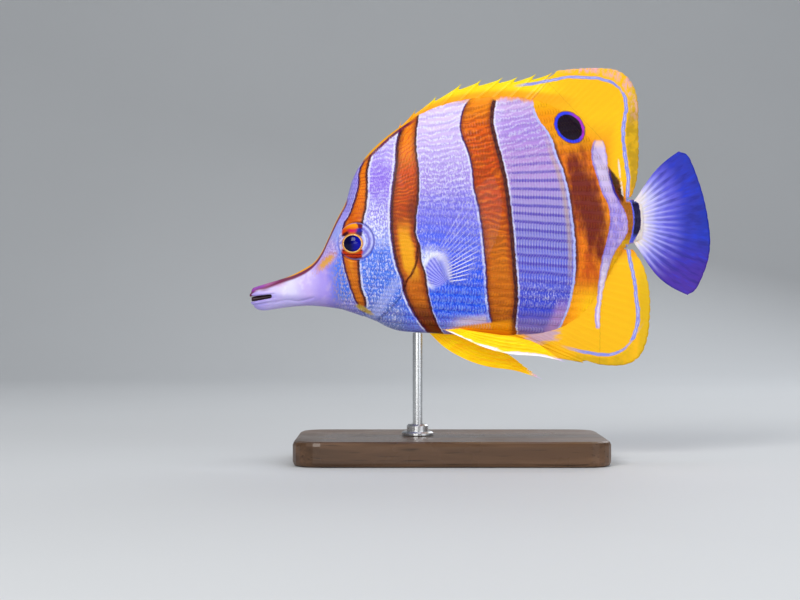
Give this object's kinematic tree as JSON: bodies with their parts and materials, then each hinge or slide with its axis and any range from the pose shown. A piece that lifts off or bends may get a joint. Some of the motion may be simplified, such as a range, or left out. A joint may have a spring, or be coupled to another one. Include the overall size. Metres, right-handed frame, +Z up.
{
  "type": "copperband butterflyfish model",
  "caption": "Life-size copperband butterflyfish with a long beak-like snout, disc-shaped body and ray fins, held on a rod above a flat display base.",
  "frame": {"origin": "centre of the bounding box at the underside of the display base", "axes": "+Z up, -X the way the fish faces, +Y towards the fish's right side"},
  "size_m": [0.1502, 0.06, 0.1275],
  "materials": {
    "pale_skin": "bluish-white painted scales, satin",
    "copper_skin": "copper-orange and bluish-white painted bands, satin",
    "yellow_fin": "yellow painted fin, satin",
    "violet_fin": "violet-blue painted fin, satin",
    "clear_fin": "clear fin membrane with whitish rays",
    "eye": "glossy eye",
    "stand_wood": "dark oiled wood, satin",
    "stand_steel": "brushed"
  },
  "bodies": {
    "root": {"upper_jaw": "pale_skin", "lower_jaw": "pale_skin", "snout": "pale_skin", "head": "pale_skin", "gill_cover_left": "copper_skin", "gill_cover_right": "copper_skin", "eye_left": "eye", "eye_right": "eye", "body": "copper_skin", "tail_base": "copper_skin", "dorsal_fin_spiny": "yellow_fin", "dorsal_fin_soft": "yellow_fin", "anal_fin": "yellow_fin", "tail_fin": "violet_fin", "pectoral_fin_left": "clear_fin", "pectoral_fin_right": "clear_fin", "pelvic_fin_left": "yellow_fin", "pelvic_fin_right": "yellow_fin", "stand_base": "stand_wood", "stand_rod": "stand_steel", "stand_collar": "stand_steel"}
  },
  "joints": []
}
